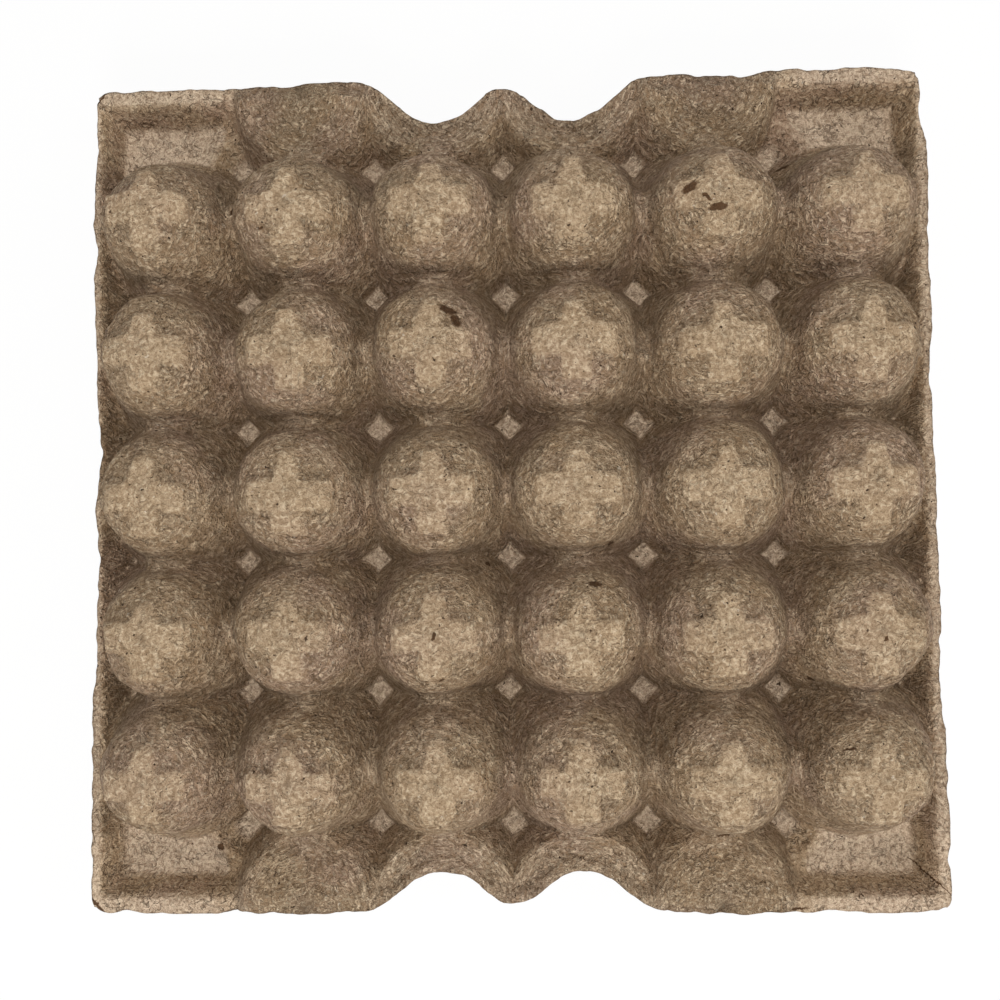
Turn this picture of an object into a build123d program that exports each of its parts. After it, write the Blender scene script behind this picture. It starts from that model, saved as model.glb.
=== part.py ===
from build123d import *
import os
from math import atan, cos, degrees, radians, tan

# Pulp egg tray for thirty eggs, six columns by five rows, lying upside down.
# Z is up, z = 0 is the plane the hollow posts stand on, and the cups are domes above it.
# The upper form is what is seen from above. The lower form is the same form moved in by
# the wall, and the tray is what lies between the two, inside the outline of the rim.

# The grid of cups
columns = 6
rows = 5
pitch = 47.5

# The moulded wall, the same all over
wall = 2.0

# One cup: a drafted flank of narrow flats, a bevelled crown and a raised cross
cup_height = 45.0
cup_foot_radius = 30.4
cup_draft_run = 14.8
cup_flats = 16
crown_bevel_run = 5.2
crown_bevel_drop = 6.5
cross_rise = 1.0
cross_arm_width = 9.0
cross_reach = 13.0

# The saddle that joins two neighbouring cups
saddle_height = 26.3
saddle_length = 11.2
saddle_width = 12.0
saddle_depth = 13.0
saddle_end_run = 5.6

# The rim, its drafted inner wall and the outline of the whole tray
rim_height = 20.0
rim_length_x = 295.0
rim_length_y = 290.0
rim_wall_x = 287.0
rim_wall_y = 279.0
rim_wall_run = 5.0
rim_corner_radius = 8.0

# The crests of the half cups in the second and fifth columns, which stand above the rim
crest_rise = 3.5
crest_from_edge = 7.0
crest_outer_run = 5.0
crest_inner_run = 17.0

# The four corner pockets, shallow ledges beside the corner cups, hollowed towards a post
ledge_height = 5.0
hollow_foot_radius = 5.6
hollow_mouth_radius = 13.4

# The finger notches in the long edges, at the two middle columns
notch_depth = 14.5
notch_floor_width = 11.0
notch_side_angle = 39.0
notch_floor_fillet = 6.0
notch_peak_drop = 3.0
notch_peak_fillet = 8.0
notch_shoulder_fillet = 12.0

# How far a cutting form runs past what it cuts
past = 10.0

draft_slope = cup_draft_run / (cup_height - wall)
draft_angle = degrees(atan(draft_slope))
skin = wall / cos(atan(draft_slope))
bevel_angle = degrees(atan(crown_bevel_run / crown_bevel_drop))
saddle_slope = saddle_end_run / saddle_depth
saddle_skin = wall / cos(atan(saddle_slope))
rim_slope = rim_wall_run / (rim_height - wall)
rim_angle = degrees(atan(rim_slope))
rim_skin = wall / cos(atan(rim_slope))
edge_rows = (-1, rows)
crest_columns = (1, columns - 2)


def column_x(i):
    """Where a column of cups stands, counted from the left."""
    return (i - (columns - 1) / 2) * pitch


def row_y(j):
    """Where a row of cups stands, counted from the front."""
    return (j - (rows - 1) / 2) * pitch


def raised(sketch, bottom, top, taper=0.0):
    """A sketch made solid between two heights, leaning in by taper degrees."""
    return Pos(0, 0, bottom) * extrude(sketch, top - bottom, taper=taper)


def many_sided(radius):
    """The outline of a cup, with a flat square to each axis."""
    return RegularPolygon(radius, cup_flats, major_radius=False, rotation=180 / cup_flats)


def flank_radius(z, lowered):
    """How far a cup's flank is from the cup's axis at a height."""
    inset = skin if lowered else 0
    return cup_foot_radius - draft_slope * (z - wall) - inset


def flank(top, lowered):
    """A cup's drafted flank from its foot up to a height."""
    bottom = -past if lowered else wall
    return raised(many_sided(flank_radius(bottom, lowered)), bottom, top, draft_angle)


def cup(lowered):
    """One whole cup: flank and bevelled crown, with a raised cross on the upper side alone."""
    drop = wall if lowered else 0
    shoulder = cup_height - crown_bevel_drop - drop
    crown = cup_height - drop
    bevel = raised(many_sided(flank_radius(shoulder, lowered)), shoulder, crown, bevel_angle)
    shapes = [flank(shoulder, lowered), bevel]
    if not lowered:
        arm = Rectangle(2 * cross_reach, cross_arm_width)
        shapes.append(raised(arm + Rot(0, 0, 90) * arm, shoulder, crown + cross_rise))
    return shapes


def edge_cup(lowered):
    """A cup past the long edge, cut off at the height of the rim."""
    return flank(rim_height - (wall if lowered else 0), lowered)


def crested_edge_cup(lowered):
    """The same about its own axis, with a crest along the far edge that slopes to both sides."""
    drop = wall if lowered else 0
    floor = -past if lowered else wall
    level = rim_height - drop
    crest = rim_length_y / 2 - crest_from_edge - row_y(rows)
    near = crest - crest_inner_run
    far = crest + crest_outer_run
    side = Polygon(
        (-pitch, floor),
        (pitch, floor),
        (pitch, level),
        (far, level),
        (crest, level + crest_rise),
        (near, level),
        (-pitch, level),
        align=None,
    )
    roof = extrude(Plane.YZ * side, pitch, both=True)
    return flank(level + crest_rise, lowered) & roof


def saddle(height, lowered):
    """The block between two cups side by side: level on top, with steep ends along Y."""
    top = height - (wall if lowered else 0)
    half = saddle_length / 2 + (height - top) * saddle_slope
    if lowered:
        half -= saddle_skin
    foot = half + saddle_end_run
    side = Polygon((-foot, 0), (foot, 0), (half, saddle_depth), (-half, saddle_depth), align=None)
    block = extrude(Plane.YZ * side, saddle_width / 2, both=True)
    return Pos(0, 0, top - saddle_depth) * block


def saddles(lowered):
    """The saddles between all cups, and the lower ones round the edge cups."""
    high = saddle(saddle_height, lowered)
    low = saddle(rim_height, lowered)
    turn = Rot(0, 0, 90)
    half = pitch / 2
    across = [Pos(column_x(i) + half, row_y(j), 0) for i in range(columns - 1) for j in range(rows)]
    along = [Pos(column_x(i), row_y(j) + half, 0) for i in range(columns) for j in range(rows - 1)]
    edge_across = [Pos(column_x(i) + half, row_y(j), 0) for i in range(1, columns - 2) for j in edge_rows]
    edge_y = row_y(rows - 0.5)
    edge_along = [Pos(column_x(i), y, 0) for i in range(1, columns - 1) for y in (-edge_y, edge_y)]
    found = [place * high for place in across]
    found += [place * turn * high for place in along]
    found += [place * low for place in edge_across]
    found += [place * turn * low for place in edge_along]
    return found


def tub(lowered):
    """The shallow drafted tray that the cups stand in: its floor, wall and flat rim."""
    grow = 2 * rim_skin if lowered else 0
    above = 2 * rim_slope * past
    mouth = Rectangle(rim_wall_x + grow + above, rim_wall_y + grow + above)
    floor = -past if lowered else wall
    inner = Rot(180, 0, 0) * raised(mouth, -rim_height - past, -floor, rim_angle)
    if lowered:
        block = raised(Rectangle(rim_length_x + past, rim_length_y + past), -past, rim_height - wall)
    else:
        block = raised(Rectangle(rim_length_x, rim_length_y), 0, rim_height)
    return block - inner


def hollow(lowered):
    """The round hollow that leads from a ledge down to the post beside it."""
    drop = wall if lowered else 0
    foot = wall - drop
    spread = (hollow_mouth_radius - hollow_foot_radius) / (ledge_height - wall)
    mouth = many_sided(hollow_mouth_radius + spread * past)
    cone = Rot(180, 0, 0) * raised(mouth, drop - ledge_height - past, -foot, degrees(atan(spread)))
    if lowered:
        cone += raised(many_sided(hollow_foot_radius), -past, foot)
    return cone


def ledges(lowered):
    """The floors of the four corner pockets, each hollowed about the nearest post."""
    drop = wall if lowered else 0
    post_x = column_x(0) + pitch / 2
    post_y = row_y(rows - 0.5)
    start = -rim_length_x / 2
    near = row_y(rows - 1)
    far = rim_length_y / 2 - drop
    foot = Pos((start + post_x) / 2, (near + far) / 2) * Rectangle(post_x - start, far - near)
    ledge = raised(foot, -past if lowered else 0, ledge_height - drop)
    ledge -= Pos(post_x, post_y, 0) * hollow(lowered)
    found = [ledge, mirror(ledge, Plane.YZ)]
    return found + [mirror(piece, Plane.XZ) for piece in found]


def form(lowered):
    """The whole upper form, or the lower form that is taken out of it."""
    pieces = [tub(lowered)] + ledges(lowered) + saddles(lowered)
    for shape in cup(lowered):
        pieces += [Pos(column_x(i), row_y(j), 0) * shape for i in range(columns) for j in range(rows)]
    plain = edge_cup(lowered)
    crested = crested_edge_cup(lowered)
    for i in range(1, columns - 1):
        shape = crested if i in crest_columns else plain
        pieces.append(Pos(column_x(i), row_y(rows), 0) * shape)
        pieces.append(Pos(column_x(i), row_y(-1), 0) * Rot(0, 0, 180) * shape)
    return pieces[0].fuse(*pieces[1:])


def outline():
    """The tray's outline, with rounded corners and a wave of two finger notches in each long edge."""
    sheet = RectangleRounded(rim_length_x, rim_length_y, rim_corner_radius)
    edge = rim_length_y / 2
    floor = edge - notch_depth
    peak = edge - notch_peak_drop
    run = 1 / tan(radians(notch_side_angle))
    inner = pitch / 2 - notch_floor_width / 2
    outer = pitch / 2 + notch_floor_width / 2
    peak_half = inner - (peak - floor) * run
    mouth_half = outer + (edge + past - floor) * run
    right = [(peak_half, peak), (inner, floor), (outer, floor), (mouth_half, edge + past)]
    left = [(-x, y) for x, y in reversed(right)]
    cut = Polygon(*left, *right, align=None)
    sheet -= [cut, mirror(cut, Plane.XZ)]
    shoulder_half = outer + (edge - floor) * run
    bends = [
        (shoulder_half, edge, notch_shoulder_fillet),
        (outer, floor, notch_floor_fillet),
        (inner, floor, notch_floor_fillet),
        (peak_half, peak, notch_peak_fillet),
    ]
    for x, y, radius in bends:
        sheet = fillet([v for v in sheet.vertices() if is_at(v, x, y)], radius)
    return sheet


def is_at(vertex, x, y):
    """Whether a vertex of the outline is at a place, in any of the four quarters."""
    return abs(abs(vertex.X) - x) < 0.01 and abs(abs(vertex.Y) - y) < 0.01


upper = form(lowered=False)
lower = form(lowered=True)
tray = (upper & raised(outline(), -past, cup_height + past)) - lower
tray.label = "tray"
os.makedirs("parts", exist_ok=True)
export_step(tray, "parts/tray.step")
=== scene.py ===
# %% [markdown]
# A moulded pulp egg tray for thirty eggs, lying upside down and seen from above.
# The CAD model gives the frame: its box, its place and its one node, the tray. The scene
# replaces that plain solid with a skin that has the rounded bends, the sagging rim, the ragged
# edge and the fibrous surface of real moulded pulp.

# %% Load the frame
import bpy
import numpy as np
from math import atan, cos, pi, radians, sin, tan
from mathutils import Euler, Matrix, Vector


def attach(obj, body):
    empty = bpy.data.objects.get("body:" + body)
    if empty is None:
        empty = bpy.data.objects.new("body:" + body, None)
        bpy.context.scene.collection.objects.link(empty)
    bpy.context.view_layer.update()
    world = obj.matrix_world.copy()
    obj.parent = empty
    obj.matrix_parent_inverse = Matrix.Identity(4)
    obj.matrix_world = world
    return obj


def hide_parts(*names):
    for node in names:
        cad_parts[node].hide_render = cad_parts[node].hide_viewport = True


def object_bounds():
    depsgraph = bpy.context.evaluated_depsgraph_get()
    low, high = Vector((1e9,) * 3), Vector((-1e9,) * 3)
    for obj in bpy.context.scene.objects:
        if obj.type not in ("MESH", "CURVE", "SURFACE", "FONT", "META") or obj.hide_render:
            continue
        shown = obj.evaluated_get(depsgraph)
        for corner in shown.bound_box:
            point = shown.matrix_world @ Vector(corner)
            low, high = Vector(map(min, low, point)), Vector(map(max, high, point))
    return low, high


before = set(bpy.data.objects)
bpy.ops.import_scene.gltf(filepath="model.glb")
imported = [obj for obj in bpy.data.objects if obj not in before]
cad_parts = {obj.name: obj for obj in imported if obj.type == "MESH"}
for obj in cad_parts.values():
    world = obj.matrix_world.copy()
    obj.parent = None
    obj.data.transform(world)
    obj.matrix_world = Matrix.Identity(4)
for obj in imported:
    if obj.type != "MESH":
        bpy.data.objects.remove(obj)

cad_low, cad_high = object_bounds()
print("CAD box", list(cad_low), list(cad_high))

# %% [markdown]
# The main sizes are those of the CAD source, in millimetres: six columns and five rows of cups
# on one pitch, one wall thickness, and the heights of crown, saddle, rim and ledge. The bulge,
# the sags, the bowls, the step, the pulls and the outer slope of the crests are the skin's own,
# set against the picture. The forms below are worked out from all of these.

# %% Named sizes
MM = 0.001
COLUMNS, ROWS, PITCH, WALL = 6, 5, 47.5, 2.0
CUP_HEIGHT, CUP_FOOT_RADIUS, CUP_DRAFT_RUN, CUP_BULGE = 45.0, 30.4, 14.8, 1.0
SHOULDER_RADIUS, CROWN_DOME = 15.5, 0.004
CROSS_RISE, CROSS_ARM_WIDTH, CROSS_REACH, CROSS_SAG = 1.0, 9.0, 13.0, 0.0105
SADDLE_HEIGHT, SADDLE_LENGTH, SADDLE_WIDTH = 26.3, 11.2, 12.0
SADDLE_DEPTH, SADDLE_END_RUN, SADDLE_SAG = 13.0, 5.6, 0.055
RIM_HEIGHT, RIM_LENGTH_X, RIM_LENGTH_Y = 20.0, 295.0, 290.0
RIM_WALL_X, RIM_WALL_Y, RIM_WALL_RUN = 287.0, 279.0, 5.0
CREST_RISE, CREST_FROM_EDGE, CREST_OUTER_RUN, CREST_INNER_RUN = 3.5, 7.0, 6.0, 17.0
LEDGE_HEIGHT, BOWL_FLOOR, BOWL_RIM, BOWL_LIP = 5.0, 4.5, 11.5, 2.6
NOTCH_DEPTH, NOTCH_FLOOR_WIDTH, NOTCH_SIDE_ANGLE, NOTCH_PEAK_DROP = 14.5, 11.0, 39.0, 3.0
STEP_RISE, STEP_BAND = 1.8, 4.0
PULL_LEFT, PULL_RIGHT, PULL_BACK, PULL_FRONT = 2.4, 1.4, 2.6, 1.4

DRAFT_SLOPE = CUP_DRAFT_RUN / (CUP_HEIGHT - WALL)
SKIN = WALL / cos(atan(DRAFT_SLOPE))
SADDLE_SLOPE = SADDLE_END_RUN / SADDLE_DEPTH
SADDLE_SKIN = WALL / cos(atan(SADDLE_SLOPE))
RIM_SLOPE = RIM_WALL_RUN / (RIM_HEIGHT - WALL)
RIM_SKIN = WALL / cos(atan(RIM_SLOPE))
print("cup draft", round(atan(DRAFT_SLOPE) * 180 / pi, 1), "degrees")

# %% [markdown]
# Cups stand on a square grid round the middle of the tray. So a column or a row number gives a
# place, a place gives the nearest cup, and a hollow post stands where four cups meet.

# %% The grid of cups
def column_x(i):
    """Where a column of cups stands, counted from the left."""
    return (i - (COLUMNS - 1) / 2) * PITCH


def row_y(j):
    """Where a row of cups stands, counted from the front."""
    return (j - (ROWS - 1) / 2) * PITCH


def nearest_cup(x, y):
    """The column and the row of the cup nearest to each point."""
    column = np.clip(np.round(x / PITCH + (COLUMNS - 1) / 2), 0, COLUMNS - 1)
    row = np.clip(np.round(y / PITCH + (ROWS - 1) / 2), 0, ROWS - 1)
    return column, row


def off_whole_pitch(value):
    """Distance from the nearest whole number of pitches: in x a line between columns, in y a row."""
    return np.abs(value / PITCH - np.round(value / PITCH)) * PITCH


CORNER_POST_X, CORNER_POST_Y = column_x(COLUMNS - 1.5), row_y(ROWS - 0.5)
print("corner posts stand at", CORNER_POST_X, CORNER_POST_Y)

# %% [markdown]
# Pulp is never regular, so small seeded wanderings are laid over every size. They come from
# value noise: random numbers on a square lattice, blended smoothly in between. One number for
# each cup shifts whole cups, and a lattice of a few millimetres makes an edge ragged.

# %% Smooth noise and soft joins
def lattice(ix, iy, seed):
    """A fixed random number from -1 to 1 for each lattice point."""
    mixed = np.sin(ix * 127.1 + iy * 311.7 + seed * 74.7) * 43758.5453
    return (mixed - np.floor(mixed)) * 2.0 - 1.0


def wander(x, y, size, seed):
    """Value noise over the plane whose lumps are size millimetres apart."""
    u, v = x / size, y / size
    iu, iv = np.floor(u), np.floor(v)
    fu, fv = u - iu, v - iv
    fu, fv = fu * fu * (3 - 2 * fu), fv * fv * (3 - 2 * fv)
    south = lattice(iu, iv, seed) * (1 - fu) + lattice(iu + 1, iv, seed) * fu
    north = lattice(iu, iv + 1, seed) * (1 - fu) + lattice(iu + 1, iv + 1, seed) * fu
    return south * (1 - fv) + north * fv


def soft_max(a, b, join):
    """The higher of two surfaces, joined with a bend as wide as join."""
    share = np.clip(0.5 + 0.5 * (a - b) / join, 0, 1)
    return b + (a - b) * share + join * share * (1 - share)


def ramp(value, start, end):
    """Nought before start, one past end and smooth in between."""
    t = np.clip((value - start) / (end - start), 0, 1)
    return t * t * (3 - 2 * t)


print("three draws of the fixed noise", lattice(np.arange(3.0), 0.0, 1).round(3))

# %% [markdown]
# A cup is a cone of nineteen degrees draft that bends into a nearly flat crown over a
# shoulder. The bend is a true arc, so it shades like the formed sheet does. The crown carries
# a raised cross whose arms fall off at their ends. Each cup stands a little off its place on
# the grid and swells unevenly, and the outermost flanks of the outer cups are drawn in.

# %% One cup
CUP_SHIFT, CUP_SAG = 0.45, 0.25
CUP_SWELLS = ((2, 0.35, 5), (3, 0.22, 6), (5, 0.16, 7))
NOWHERE = -50.0


def off_cup_axis(x, y, cx, cy, column, row):
    """Offset of points from a cup's axis, which stands a little off the grid."""
    dx = x - cx - CUP_SHIFT * lattice(column, row, 3)
    dy = y - cy - CUP_SHIFT * lattice(column, row, 4)
    return dx, dy


def outer_pull(dx, dy, r, column, row):
    """How far the outer flanks of the outermost cups are drawn in."""
    outward = PULL_LEFT * (column == 0) * np.maximum(-dx, 0)
    outward = outward + PULL_RIGHT * (column == COLUMNS - 1) * np.maximum(dx, 0)
    outward = outward + PULL_BACK * (row == ROWS - 1) * np.maximum(dy, 0)
    outward = outward + PULL_FRONT * (row == 0) * np.maximum(-dy, 0)
    return outward / np.maximum(r, 1) * ramp(r, 6, 14) * (1 - ramp(r, 23, 30))


def cup_height_at(x, y, cx, cy, column, row, lowered):
    """Height of one cup's surface at points, with its own small faults."""
    drop = WALL if lowered else 0.0
    dx, dy = off_cup_axis(x, y, cx, cy, column, row)
    angle = np.arctan2(dy, dx)
    swell = 0.0
    for lobes, size, seed in CUP_SWELLS:
        swell = swell + size * np.sin(lobes * angle + 6 * lattice(column, row, seed))
    r = np.hypot(dx, dy)
    pull = outer_pull(dx, dy, r, column, row)
    bulge = CUP_BULGE * ramp(r, 12, 17) * (1 - ramp(r, 20, 24))
    r = r + swell * ramp(r, 4, 14) + pull - bulge
    foot = CUP_FOOT_RADIUS - (SKIN if lowered else 0.0)
    top = CUP_HEIGHT - drop - CUP_SAG + CUP_SAG * lattice(column, row, 8)
    radius = SHOULDER_RADIUS - drop
    turn = pi / 2 - atan(DRAFT_SLOPE)
    corner = foot - DRAFT_SLOPE * (top - WALL)
    start = corner - radius * tan(turn / 2)
    end = start + radius * sin(turn)
    cone = top + (corner - r) / DRAFT_SLOPE
    arc = top - radius + np.sqrt(np.maximum(radius**2 - np.clip(r - start, 0, radius) ** 2, 0))
    height = np.where(r < start, top, np.where(r < end, arc, cone))
    crown = CROWN_DOME * np.minimum(r, start) ** 2
    height = height - crown * (1 if lowered else ramp(r, 30, 12))
    return height, dx, dy, r


print("foot radius of a cup", CUP_FOOT_RADIUS, "inside it", round(CUP_FOOT_RADIUS - SKIN, 2))

# %% [markdown]
# The cross is two arms at right angles. Its ends and sides are softened and a little wavy, no
# two alike, and the standing arm narrows towards the back, as the picture shows.

# %% The cross on a crown
def cross_rise_at(dx, dy, column, row):
    """Where the raised cross is, one on it and nought off it, with softened sides."""
    half = CROSS_ARM_WIDTH / 2 + 0.2
    shift = 1.0 + 0.6 * lattice(column, row, 11)
    north = 12.0 + 0.9 * lattice(column, row, 12)
    south = -14.0 + 0.6 * lattice(column, row, 13)
    side = CROSS_REACH + 0.6 + 0.5 * lattice(column, row, 14)
    wave = 0.8 * wander(dx + 50 * column, dy + 50 * row, 4.5, 15)
    narrow = 1.9 * ramp(dy, 3, 11)
    lie = np.abs(dy + shift + wave) - half
    stand = np.abs(dx + wave) - half + narrow
    along = np.maximum(lie, np.abs(dx) - side)
    upright = np.maximum(stand, np.maximum(dy - north, south - dy))
    return 1 - ramp(np.minimum(along, upright), -0.3, 0.8)


def crown_share(x, y):
    """One on the crosses and nought elsewhere, for the finish of the crowns."""
    i, j = nearest_cup(x, y)
    dx, dy = off_cup_axis(x, y, column_x(i), row_y(j), i, j)
    return cross_rise_at(dx, dy, i, j)


middle_cross = cross_rise_at(np.array([0.0, 10.0]), np.array([0.0, 10.0]), 2.0, 2.0)
print("cross at its middle and beside its arms", middle_cross.round(2))

# %% [markdown]
# Each long edge has a wave of two finger notches: a floor, slanting sides and a peak between.
# The line through its corners is averaged over nine millimetres, which rounds every bend.

# %% The wave of the notches
NOTCH_ROUNDING, NOTCH_STEPS = 4.5, 13


def notch_line(x):
    """Distance from the middle line to the long edge, with the wave of two notches."""
    edge = RIM_LENGTH_Y / 2
    floor, peak = edge - NOTCH_DEPTH, edge - NOTCH_PEAK_DROP
    run = 1 / tan(radians(NOTCH_SIDE_ANGLE))
    inner, outer = PITCH / 2 - NOTCH_FLOOR_WIDTH / 2, PITCH / 2 + NOTCH_FLOOR_WIDTH / 2
    corner_x = (inner - (peak - floor) * run, inner, outer, outer + (edge - floor) * run)
    line = 0.0
    spread = np.linspace(-NOTCH_ROUNDING, NOTCH_ROUNDING, NOTCH_STEPS)
    for offset in spread:
        line = line + np.interp(np.abs(x + offset), corner_x, (peak, floor, floor, edge))
    return line / len(spread)


print("long edge at the peak and in a notch", notch_line(np.array([0.0, PITCH / 2])).round(1))

# %% [markdown]
# A saddle is a low block between two cups, level on top with steep ends. Drying rounds its top
# and folds the sheet that was squeezed there.

# %% Saddles
SADDLE_LIFT, SADDLE_BEND = 0.6, 2.0


def saddle_at(along, height, lowered):
    """Height of a saddle at a distance from its middle, with steep ends."""
    top = height - (WALL if lowered else 0.0)
    half = SADDLE_LENGTH / 2 + (height - top) * SADDLE_SLOPE - (SADDLE_SKIN if lowered else 0.0)
    rounded = top + SADDLE_LIFT - SADDLE_SAG * along**2
    return -soft_max(-rounded, -(top - (along - half) / SADDLE_SLOPE), SADDLE_BEND)


def saddle_folds(x, y):
    """The rough creases across a saddle, where the sheet was squeezed between two cups."""
    return 0.7 * wander(x, y * 0.4, 1.7, 25) + 0.7 * wander(x, y, 3.6, 26) + 0.5 * wander(x, y, 9, 27)


saddle_ends = saddle_at(np.array([0.0, SADDLE_LENGTH]), SADDLE_HEIGHT, False)
print("saddle at its middle and past its end", saddle_ends.round(1))

# %% [markdown]
# The whole sheet is the highest of all these forms at each point: cups, saddles, wall, rim and
# ledges, joined softly. The same function gives the lower side, where every form is moved in
# by the wall, the cross too. Past each long edge lie the halves of four more cups, cut off at
# the rim.

# %% The height of the sheet
JOIN, EDGE_JOIN = 0.9, 2.4


def tub_height(x, y, lowered):
    """The floor, the drafted wall and the rim that the cups stand in."""
    drop = WALL if lowered else 0.0
    floor = np.full(x.shape, 0.0 if lowered else WALL)
    mouth = RIM_SKIN if lowered else 0.0
    wall_x = (np.abs(x) - (RIM_WALL_X / 2 - RIM_WALL_RUN + mouth)) / RIM_SLOPE + WALL
    wall_y = (np.abs(y) - (RIM_WALL_Y / 2 - RIM_WALL_RUN + mouth)) / RIM_SLOPE + WALL
    level = RIM_HEIGHT - drop + 0.5 * wander(x, y, 22, 21) - 0.35
    rim = -soft_max(-np.maximum(wall_x, wall_y), -level, 1.5)
    return soft_max(floor, rim, JOIN)


def ledge_height_at(x, y, lowered):
    """The ledge of a corner pocket, with the lipped bowl that leads down to its post."""
    from_post = np.hypot(np.abs(x) - CORNER_POST_X, np.abs(y) - CORNER_POST_Y)
    bowl_slope = (LEDGE_HEIGHT + BOWL_LIP - WALL) / (BOWL_RIM - BOWL_FLOOR)
    bowl = WALL + bowl_slope * np.maximum(from_post - BOWL_FLOOR, 0)
    ledge = LEDGE_HEIGHT + 0.6 * wander(x, y, 12, 22) + BOWL_LIP * ramp(from_post, BOWL_RIM + 9, BOWL_RIM)
    floor = 0.0 if lowered else WALL
    return np.maximum(np.minimum(bowl, ledge) - (WALL if lowered else 0.0), floor)


def crossed(height, dx, dy, r, column, row, lowered):
    """A cup's height with its cross: the quarters sink a little and the arms rise."""
    drop = WALL if lowered else 0.0
    cross = cross_rise_at(dx, dy, column, row)
    top = CUP_HEIGHT + CROSS_RISE - drop - 0.35 - CROSS_SAG * np.minimum(r, 18) ** 2
    top = np.maximum(top, height)
    back = 0.3 + 0.6 * ramp(dy, -3, 4)
    height = height - back * (1 - cross) * (1 - ramp(r, 11, 20))
    return height + (top - height) * cross


def sheet_height(x, y, lowered):
    """Height in millimetres of the upper or the lower side of the sheet."""
    height = tub_height(x, y, lowered)
    pocket = (np.abs(x) > CORNER_POST_X) & (np.abs(y) > row_y(ROWS - 1))
    height = np.where(pocket, soft_max(height, ledge_height_at(x, y, lowered), JOIN), height)
    column, row = nearest_cup(x, y)
    cups = np.full(x.shape, NOWHERE)
    for di in (-1, 0, 1):
        for dj in (-1, 0, 1):
            i, j = column + di, row + dj
            real = (i >= 0) & (i < COLUMNS) & (j >= 0) & (j < ROWS)
            found, dx, dy, r = cup_height_at(x, y, column_x(i), row_y(j), i, j, lowered)
            if di == 0 and dj == 0:
                found = crossed(found, dx, dy, r, i, j, lowered)
            cups = soft_max(cups, np.where(real, found, NOWHERE), JOIN)
    height = soft_max(height, cups, JOIN)
    from_row = np.abs(y - row_y(row))
    inside_x = np.abs(x) < column_x(COLUMNS - 1)
    across = saddle_at(from_row, SADDLE_HEIGHT, lowered) + saddle_folds(x, y)
    near = (off_whole_pitch(x) < SADDLE_WIDTH / 2) & inside_x & (from_row < PITCH / 2)
    height = np.where(near, soft_max(height, across, JOIN * 2), height)
    line_y = (np.floor(y / PITCH) + 0.5) * PITCH
    from_column = np.abs(x - column_x(column))
    inside_y = np.abs(y) < row_y(ROWS - 1)
    along = saddle_at(from_column, SADDLE_HEIGHT, lowered) + saddle_folds(y, x)
    near = (np.abs(y - line_y) < SADDLE_WIDTH / 2) & inside_y & (from_column < PITCH / 2)
    height = np.where(near, soft_max(height, along, JOIN * 2), height)
    return soft_max(height, edge_forms(x, y, column, lowered), EDGE_JOIN)


def edge_forms(x, y, column, lowered):
    """The half cups past the long edges, crested, stepped or plain, and their saddles."""
    drop = WALL if lowered else 0.0
    level = RIM_HEIGHT - drop
    foot = CUP_FOOT_RADIUS - (SKIN if lowered else 0.0)
    far = np.abs(y)
    best = np.full(x.shape, NOWHERE)
    crest_y = RIM_LENGTH_Y / 2 - CREST_FROM_EDGE + 0.8 * wander(x, y, 16, 31)
    inner = 1 - np.clip((crest_y - far) / CREST_INNER_RUN, 0, 1)
    outer = 1 - np.clip((far - crest_y) / CREST_OUTER_RUN, 0, 1)
    crest = level + CREST_RISE * np.minimum(inner, outer) - 1.6 * ramp(crest_y - far, 4, 22)
    crest = crest + 0.7 * wander(x, y, 6, 32) + 0.7 * wander(x * 0.5, y, 2.6, 33)
    stepped = level - STEP_RISE * ramp(notch_line(x) - far, STEP_BAND - 1, STEP_BAND + 1)
    for di in (-1, 0, 1):
        i = column + di
        real = (i >= 1) & (i < COLUMNS - 1)
        r = np.hypot(x - column_x(i), far - row_y(ROWS))
        cone = WALL - drop + (foot - r) / DRAFT_SLOPE
        roof = np.where((i == 1) | (i == COLUMNS - 2), crest, stepped)
        found = -soft_max(-cone, -roof, 3.5)
        best = soft_max(best, np.where(real, found, NOWHERE), JOIN)
    across = saddle_at(np.abs(far - row_y(ROWS)), RIM_HEIGHT, lowered)
    near = (off_whole_pitch(x) < SADDLE_WIDTH / 2) & (np.abs(x) < column_x(COLUMNS - 2))
    best = np.where(near, soft_max(best, across, JOIN), best)
    from_column = np.abs(x - column_x(column))
    along = saddle_at(from_column, RIM_HEIGHT, lowered)
    near = (np.abs(far - row_y(ROWS - 0.5)) < SADDLE_WIDTH / 2) & (np.abs(x) < PITCH * 2)
    return np.where(near, soft_max(best, along, JOIN), best)


post_floor = sheet_height(np.zeros(1), np.array([PITCH / 2]), False)
print("height over the middle post", round(float(post_floor[0]), 2))
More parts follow.
